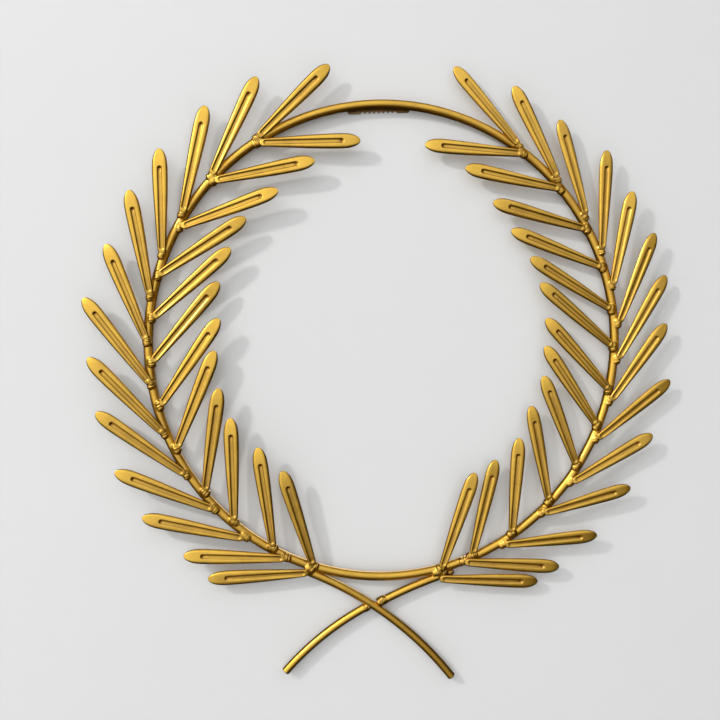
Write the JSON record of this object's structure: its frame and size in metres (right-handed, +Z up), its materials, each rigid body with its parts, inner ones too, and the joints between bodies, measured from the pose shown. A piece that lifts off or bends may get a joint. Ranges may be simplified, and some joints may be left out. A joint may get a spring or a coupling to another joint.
{
  "type": "metal wall wreath",
  "caption": "Round welded metal wreath of long stamped leaves on a bent rod ring, with crossed rod tails and a sawtooth hanger, for hanging on a wall.",
  "frame": {"origin": "on the hanger's flat back face, on the wreath's middle line, which is the wall's surface when it hangs", "axes": "+X to the right as the hung wreath is seen, +Z up, and -Y out of the wall towards the room"},
  "size_m": [0.5903, 0.0205, 0.6185],
  "materials": {
    "gold_leaf": "satin gold paint over stamped sheet steel",
    "gold_rod": "satin gold paint over bent steel rod and weld beads",
    "gold_hanger": "gold paint, thin, over punched steel strip"
  },
  "bodies": {
    "root": {"ring_rod": "gold_rod", "tail_front": "gold_rod", "tail_back_upper": "gold_rod", "tail_back_lower": "gold_rod", "leaf_left_outer_01": "gold_leaf", "leaf_left_outer_02": "gold_leaf", "leaf_left_outer_03": "gold_leaf", "leaf_left_outer_04": "gold_leaf", "leaf_left_outer_05": "gold_leaf", "leaf_left_outer_06": "gold_leaf", "leaf_left_outer_07": "gold_leaf", "leaf_left_outer_08": "gold_leaf", "leaf_left_outer_09": "gold_leaf", "leaf_left_outer_10": "gold_leaf", "leaf_left_outer_11": "gold_leaf", "leaf_left_outer_12": "gold_leaf", "leaf_left_outer_13": "gold_leaf", "leaf_left_inner_01": "gold_leaf", "leaf_left_inner_02": "gold_leaf", "leaf_left_inner_03": "gold_leaf", "leaf_left_inner_04": "gold_leaf", "leaf_left_inner_05": "gold_leaf", "leaf_left_inner_06": "gold_leaf", "leaf_left_inner_07": "gold_leaf", "leaf_left_inner_08": "gold_leaf", "leaf_left_inner_09": "gold_leaf", "leaf_left_inner_10": "gold_leaf", "leaf_left_inner_11": "gold_leaf", "leaf_left_inner_12": "gold_leaf", "leaf_right_outer_01": "gold_leaf", "leaf_right_outer_02": "gold_leaf", "leaf_right_outer_03": "gold_leaf", "leaf_right_outer_04": "gold_leaf", "leaf_right_outer_05": "gold_leaf", "leaf_right_outer_06": "gold_leaf", "leaf_right_outer_07": "gold_leaf", "leaf_right_outer_08": "gold_leaf", "leaf_right_outer_09": "gold_leaf", "leaf_right_outer_10": "gold_leaf", "leaf_right_outer_11": "gold_leaf", "leaf_right_outer_12": "gold_leaf", "leaf_right_outer_13": "gold_leaf", "leaf_right_outer_14": "gold_leaf", "leaf_right_inner_01": "gold_leaf", "leaf_right_inner_02": "gold_leaf", "leaf_right_inner_03": "gold_leaf", "leaf_right_inner_04": "gold_leaf", "leaf_right_inner_05": "gold_leaf", "leaf_right_inner_06": "gold_leaf", "leaf_right_inner_07": "gold_leaf", "leaf_right_inner_08": "gold_leaf", "leaf_right_inner_09": "gold_leaf", "leaf_right_inner_10": "gold_leaf", "leaf_right_inner_11": "gold_leaf", "leaf_right_inner_12": "gold_leaf", "leaf_right_inner_13": "gold_leaf", "hanger": "gold_hanger"}
  },
  "joints": []
}
